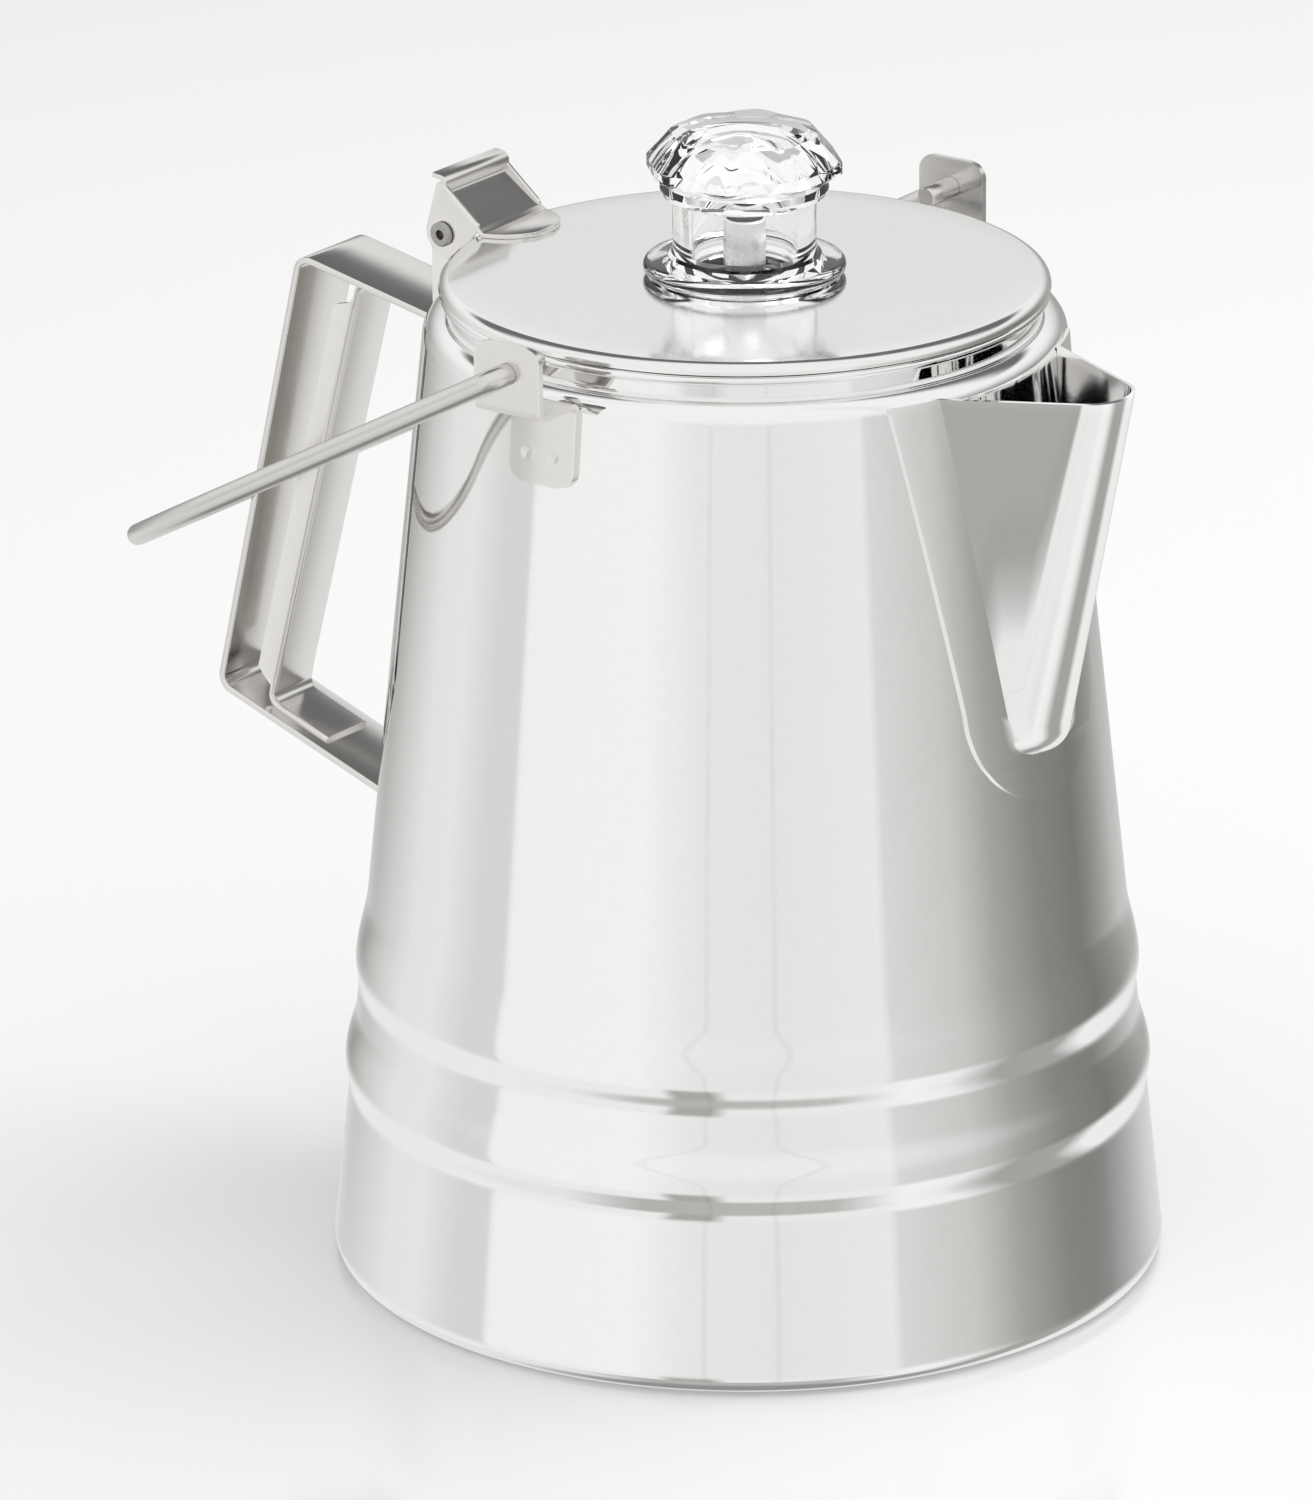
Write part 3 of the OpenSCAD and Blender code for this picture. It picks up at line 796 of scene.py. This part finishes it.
def make_strap():
    """The wide strap: both tabs on the wall, both arms and the outer upright."""
    off = STRAP_T / 2
    corners = [(-cone_r(ARM_Z - STRAP_TAB) - off, ARM_Z - STRAP_TAB), (-cone_r(ARM_Z) - off, ARM_Z),
        STRAP_TOP, STRAP_LOW, (-cone_r(LOW_ARM_Z) - off, LOW_ARM_Z),
        (-cone_r(LOW_ARM_Z + STRAP_TAB) - off, LOW_ARM_Z + STRAP_TAB)]
    path = resample(rounded(corners, 3, 10), 2)
    sections = strap_sections(path, STRAP_W, STRAP_T, 0.4, wall_wrap(path))
    verts, faces = loft(sections)
    piece("handle_strap_sheet", verts, faces, "pot", "satin_steel", ["handle_strap"])


def channel_section(depth):
    """Outline of a channel as (across, through): a web with rounded folds and two flanges of this depth."""
    w, t = GRIP_W / 2, GRIP_T
    fold = min(1.3, t + depth - 0.1)
    inner = min(0.3, depth)
    half = [(w - t, -t / 2 - depth), (w, -t / 2 - depth)] + arc(w - fold, t / 2 - fold, fold, 0, 90, 6)
    other = [(-a, b) for a, b in half[::-1]]
    return half + other + [(-w + t, -t / 2 - inner), (-w + t + inner, -t / 2), (w - t - inner, -t / 2),
        (w - t, -t / 2 - inner)]


def make_grip():
    """The channel inside the strap, with a flat tab welded on each arm."""
    gap = (STRAP_T + GRIP_T) / 2
    top_x, low_x = STRAP_TOP.x + GRIP_INSET[0], STRAP_LOW.x + GRIP_INSET[1]

    def under(x):
        return (x, STRAP_TOP.y - (x - STRAP_TOP.x) * ARM_FALL - gap * math.hypot(1, ARM_FALL))

    def over(x):
        return (x, STRAP_LOW.y - (x - STRAP_LOW.x) * LOW_FALL + gap * math.hypot(1, LOW_FALL))

    top, low = Vector(under(top_x)), Vector(over(low_x))
    corners = [under(top_x + GRIP_TABS[0]), top, low, over(low_x + GRIP_TABS[1])]
    path = resample(rounded(corners, 2.5, 8), 1.5)
    sections = []
    for p, n in zip(path, normals(path)):
        along = (p - top).dot(low - top) / (low - top).length_squared
        full = smooth((along - 0.045) / 0.03) * smooth((0.965 - along) / 0.03)
        off_web = abs((p - top).cross(low - top)) / (low - top).length
        depth = 0.06 + (GRIP_DEPTH - 0.5 - 0.06) * full * (off_web < 0.3)
        sections.append([(p.x + n.x * b, a, p.y + n.y * b) for a, b in channel_section(depth)])
    verts, faces = loft(sections)
    piece("handle_grip_channel", verts, faces, "pot", "satin_steel", ["handle_grip"])


# ---- Bail and its ears ----

def ear_column(x):
    """Middle line of an ear's sheet at one place across its width: tab, shelf and upright plate."""
    def wall_y(z):
        return math.sqrt((cone_r(z) + EAR_T / 2) ** 2 - x * x)

    corners = [(wall_y(EAR_LOW.z), EAR_LOW.z), (wall_y(EAR_SHELF), EAR_SHELF), (EAR_Y, EAR_SHELF),
        (EAR_Y, EAR_HIGH.z)]
    path = rounded(corners, 1.6, 6)
    column = [path[0].lerp(path[1], i / 24) for i in range(24)] + path[1:8]
    column += path[8:14] + [path[14].lerp(path[15], i / 24) for i in range(25)]
    return column


def make_ear(side, name, node):
    """A sheet with rounded corners: a tab on the wall, a shelf and an upright plate with the bail's hole."""
    middle = BAIL.x
    half = (EAR_HIGH.x - EAR_LOW.x) / 2
    reference = ear_column(middle)
    length = [0]
    for a, b in zip(reference, reference[1:]):
        length.append(length[-1] + (b - a).length)
    rows = []
    for i in range(len(reference)):
        to_end = min(length[i], length[-1] - length[i])
        inset = EAR_CORNER - math.sqrt(EAR_CORNER ** 2 - max(0, EAR_CORNER - to_end) ** 2)
        row = []
        for u in spread(-1, 1, 26):
            x = middle + u * (half - inset)
            p = ear_column(x)[i]
            y = p.x
            for weld in (-3.6, 3.2):
                y -= weld_dimple(x, p.y, (middle + weld, EAR_LOW.z + 6), 1.1, 0.4) if i < 24 else 0
            row.append((x, side * y, p.y))
        rows.append(row)
    verts, faces = grid(rows)
    ear = piece(name, verts, faces, "pot", "satin_steel", [node], 50)
    thicken(ear, EAR_T)
    ends = [(middle, side * (EAR_Y + off), BAIL.z) for off in (-4, 4)]
    cut(ear, *rod(*ends, WIRE_R + RUN_FIT, 48))


def make_ears():
    """The bail's two ears."""
    make_ear(-1, "ear_near", "bail_ear_near")
    make_ear(1, "ear_far", "bail_ear_far")


def make_bail():
    """A round wire bent to a wide U, with both ends turned in through the ears."""
    reach_x = BAIL.x - (BAIL_LOW.x + WIRE_R)
    reach_z = BAIL.z - (BAIL_LOW.z + WIRE_R)
    reach = math.hypot(reach_x, reach_z)
    along = Vector((-reach_x, 0, -reach_z)) / reach
    leg, corner = BAIL_LEG_Y, BAIL_CORNER_R
    flat = [(0, leg - HOOK_R)] + arc(HOOK_R, leg - HOOK_R, HOOK_R, 180, 90, 10)[1:]
    flat += arc(reach - corner, leg - corner, corner, 90, 0, 40)
    end = EAR_Y - 10
    half = [(0, end), (0, end + 0.5), (0, end + 4)] + flat
    half += [(reach, (leg - corner) * (1 - i / 6)) for i in range(1, 7)]
    plan = half + [(d, -y) for d, y in half[-2::-1]]
    path = [BAIL + along * d + Vector((0, y, 0)) for d, y in plan]
    last = len(path) - 1
    sections = tube_sections(path, lambda i: WIRE_R - 0.35 if i in (0, last) else WIRE_R, 40)
    verts, faces = loft(sections)
    piece("bail_round_wire", verts, faces, "bail", "wire_steel", ["bail_wire"])


# ---- Lid, lever and hinge ----

LID_HOLE_R = 15.2
NOTCH_R = 17.7
NOTCH_HALF_W = 4


def make_lid():
    """The lid's disc with its rounded edge and the notched hole for the knob."""
    def notched(k, r, z, a):
        if r < LID_HOLE_R + 0.4 and abs(math.sin(a)) * LID_HOLE_R < NOTCH_HALF_W:
            return NOTCH_R - LID_HOLE_R + r
        return r

    edge = LID_ROUND
    profile = [(LID_HOLE_R, LID_Z - SHEET + 0.2), (LID_HOLE_R, LID_Z - 0.25), (LID_HOLE_R + 0.25, LID_Z)]
    profile += [(r, LID_Z) for r in (19, 30, 42, 54)] + arc(LID_R - edge, LID_Z - edge, edge, 90, 0, 14)
    profile += arc(LID_R - edge, LID_Z - edge, edge - SHEET, 0, 90, 10) + [(19, LID_Z - SHEET)]
    profile += [(LID_HOLE_R + 0.2, LID_Z - SHEET)]
    verts, faces = lathe(profile, 360, notched)
    piece("lid_sheet", verts, faces, "lid", "lid_steel", ["lid_disc"])


SKIRT_DEPTH = 8.5              # from the lid's top
SKIRT_FLANGE = 6
SKIRT_GAP = 1.2                # to the inside of the neck


def make_skirt():
    """The ring under the lid that centres it in the neck, with a flange against the lid."""
    r = NECK_R - SHEET - SKIRT_GAP
    low, high = LID_Z - SKIRT_DEPTH, LID_Z - SHEET
    profile = [(r - SHEET, low), (r, low), (r, high), (r - SKIRT_FLANGE, high),
        (r - SKIRT_FLANGE, high - SHEET), (r - SHEET, high - SHEET)]
    verts, faces = lathe(profile, 192)
    piece("skirt_ring", verts, faces, "lid", "inner_steel", ["lid_skirt"])


LEVER_T = 1
TONGUE_X = -60
FACE_X = -67.5
THUMB_TOP = LID_Z + 11


def plate(outline, y, thick, edge=0.25):
    """A flat plate in X and Z, its edges a little rounded."""
    middle = sum(outline, Vector((0, 0))) / len(outline)
    sections = []
    for off, inset in ((-0.5, edge), (-0.5 + edge / thick, 0), (0.5 - edge / thick, 0), (0.5, edge)):
        ring = []
        for p in outline:
            q = p + (middle - p).normalized() * inset
            ring.append((q.x, y + off * thick, q.y))
        sections.append(ring)
    return loft(sections)


def ear_outline():
    """Outline of the lever's ear: a rounded plate between the pin, the thumb tab and the lid's edge."""
    corners = [((HINGE.x, HINGE.z), 4.3), ((HINGE.x - 0.4, THUMB_TOP - 2.3), 1.4),
        ((-60.2, LID_Z + 1.9), 1.3),
        ((-65.9, LID_Z - 5.1), 1.4)]
    points = [Vector(p) for centre, r in corners for p in arc(*centre, r, 0, 350, 35)]
    return [points[i] for i in geometry.convex_hull_2d(points)]


def make_lever():
    """The pressed strap on the lid: a round tongue, a sloping web, a thumb tab and an ear on each side."""
    z = LID_Z + LEVER_T / 2
    corners = [(-49, z), (-58, z), (FACE_X, LID_Z + 7.8), (FACE_X, THUMB_TOP), (FACE_X - 3, THUMB_TOP + 0.4)]
    path = resample(rounded(corners, 1.3, 6), 0.7)
    tongue_r = LEVER_W / 2 + 0.2

    def width(i):
        x = path[i].x
        if x < TONGUE_X:
            return LEVER_W
        return min(LEVER_W, 2 * math.sqrt(tongue_r ** 2 - (x - TONGUE_X) ** 2))

    verts, faces = loft(strap_sections(path, width, LEVER_T, 0.3))
    lever = piece("lever_strap", verts, faces, "lid", "satin_steel", ["lid_lever"], 40)
    for side in (-1, 1):
        y = side * (LEVER_W - LEVER_T) / 2
        merge(lever, *plate(ear_outline(), y, LEVER_T))
        ends = [(HINGE.x, y + side * off, HINGE.z) for off in (-3, 3)]
        cut(lever, *rod(*ends, PIN_R + RUN_FIT, 40))


def make_pin():
    """A tubular rivet with a rolled head on each side."""
    head_r, bore_r, head = 2.6, 0.9, 0.9
    end = PIN_REACH
    half = [(0, end - 2.2), (bore_r, end - 2.2)] + arc((head_r + bore_r) / 2, end - head / 2,
        (head_r - bore_r) / 2, 180, 90, 5)
    half = [(r, min(end, y)) for r, y in half]
    half += [(head_r - 0.4, end), (head_r, end - 0.4), (head_r, end - head), (PIN_R, end - head)]
    profile = half + [(r, -y) for r, y in half[::-1]]
    verts, faces = lathe(profile, 48)
    verts = [(HINGE.x + x, z, HINGE.z + y) for x, y, z in verts]
    piece("rivet", verts, faces, "pot", "pin_steel", ["hinge_pin"])


# ---- Knob and pump ----

def facet(a, sides, sharpness):
    """Radius of a rounded polygon in a direction, where its flats are 1 away."""
    total = sum(max(0, math.cos(a - math.tau * k / sides)) ** sharpness for k in range(sides))
    return total ** (-1 / sharpness)


def make_knob():
    """Pressed clear glass: a faceted head, a hollow neck, a round flange and a bayonet skirt."""
    top, base, low = KNOB_TOP, LID_Z + 0.3, KNOB_LOW
    bore = 10.8
    neck = 14.6
    lug_low, lug_high = low + 1, low + 5.6

    def faceted(k, r, z, a):
        if z > top - 10 and r > 13:
            eight = facet(a, 8, 34)
            weight = 1 if r > KNOB_R - 1 else 0.9
            return r * math.cos(math.pi / 8) * (1 + (eight - 1) * weight)
        if z > top - 2 and r > 5:
            return r * 0.92 * facet(a + math.pi / 8, 4, 5)
        if lug_low <= z <= lug_high and r > neck and abs(math.cos(a)) < 0.23:
            return 17
        return r

    profile = [(bore, low), (14.7, low), (14.7, lug_low - 0.05), (14.7, lug_low), (14.7, lug_high),
        (14.7, lug_high + 0.05), (14.7, base), (19.6, base)]
    profile += arc(19.1, base + 1.6, 1.5, -60, 90, 10)
    profile += [(15.6, base + 4), (14.9, base + 4.6), (neck, base + 5.5), (neck, top - 15), (16.6, top - 14),
        (17.1, top - 12.8), (16.4, top - 11.6), (17.2, top - 10.8), (KNOB_R, top - 9), (KNOB_R, top - 7),
        (KNOB_R - 5, top - 1.4), (KNOB_R - 9, top - 0.4), (4, top - 0.08), (0, top)]
    profile += [(0, top - 6), (3, top - 6.8), (bore - 3, top - 8.5), (bore, top - 12)]
    verts, faces = lathe(profile, 192, faceted)
    piece("knob_pressed_glass", verts, faces, "knob", "clear_glass", ["knob_glass"], 16)


TUBE_T = 0.6


def make_tube():
    """The pump's tube, its top edge a little rounded."""
    low, high = box_mm("pump_tube")
    r = high.x
    profile = [(r - TUBE_T, low.z), (r, low.z), (r, high.z - 0.3), (r - 0.3, high.z), (r - TUBE_T, high.z)]
    verts, faces = lathe(profile, 64)
    piece("tube", verts, faces, "pump", "inner_steel", ["pump_tube"])


MAKERS = (
    make_camera, make_floor, make_world, make_lamp, make_body, make_spout, make_strap, make_grip,
    make_ears, make_bail, make_lid, make_skirt, make_lever, make_pin, make_knob, make_tube)
for make in MAKERS:
    make()

slots = {part["node"]: part["material_slot"] for part in frame["record"]["subparts"]}
for node, obj in frame["nodes"].items():
    if not obj.hide_render:
        obj.data.materials.clear()
        obj.data.materials.append(MATERIALS[slots[node]])

bpy.context.scene.view_settings.view_transform = "Standard"
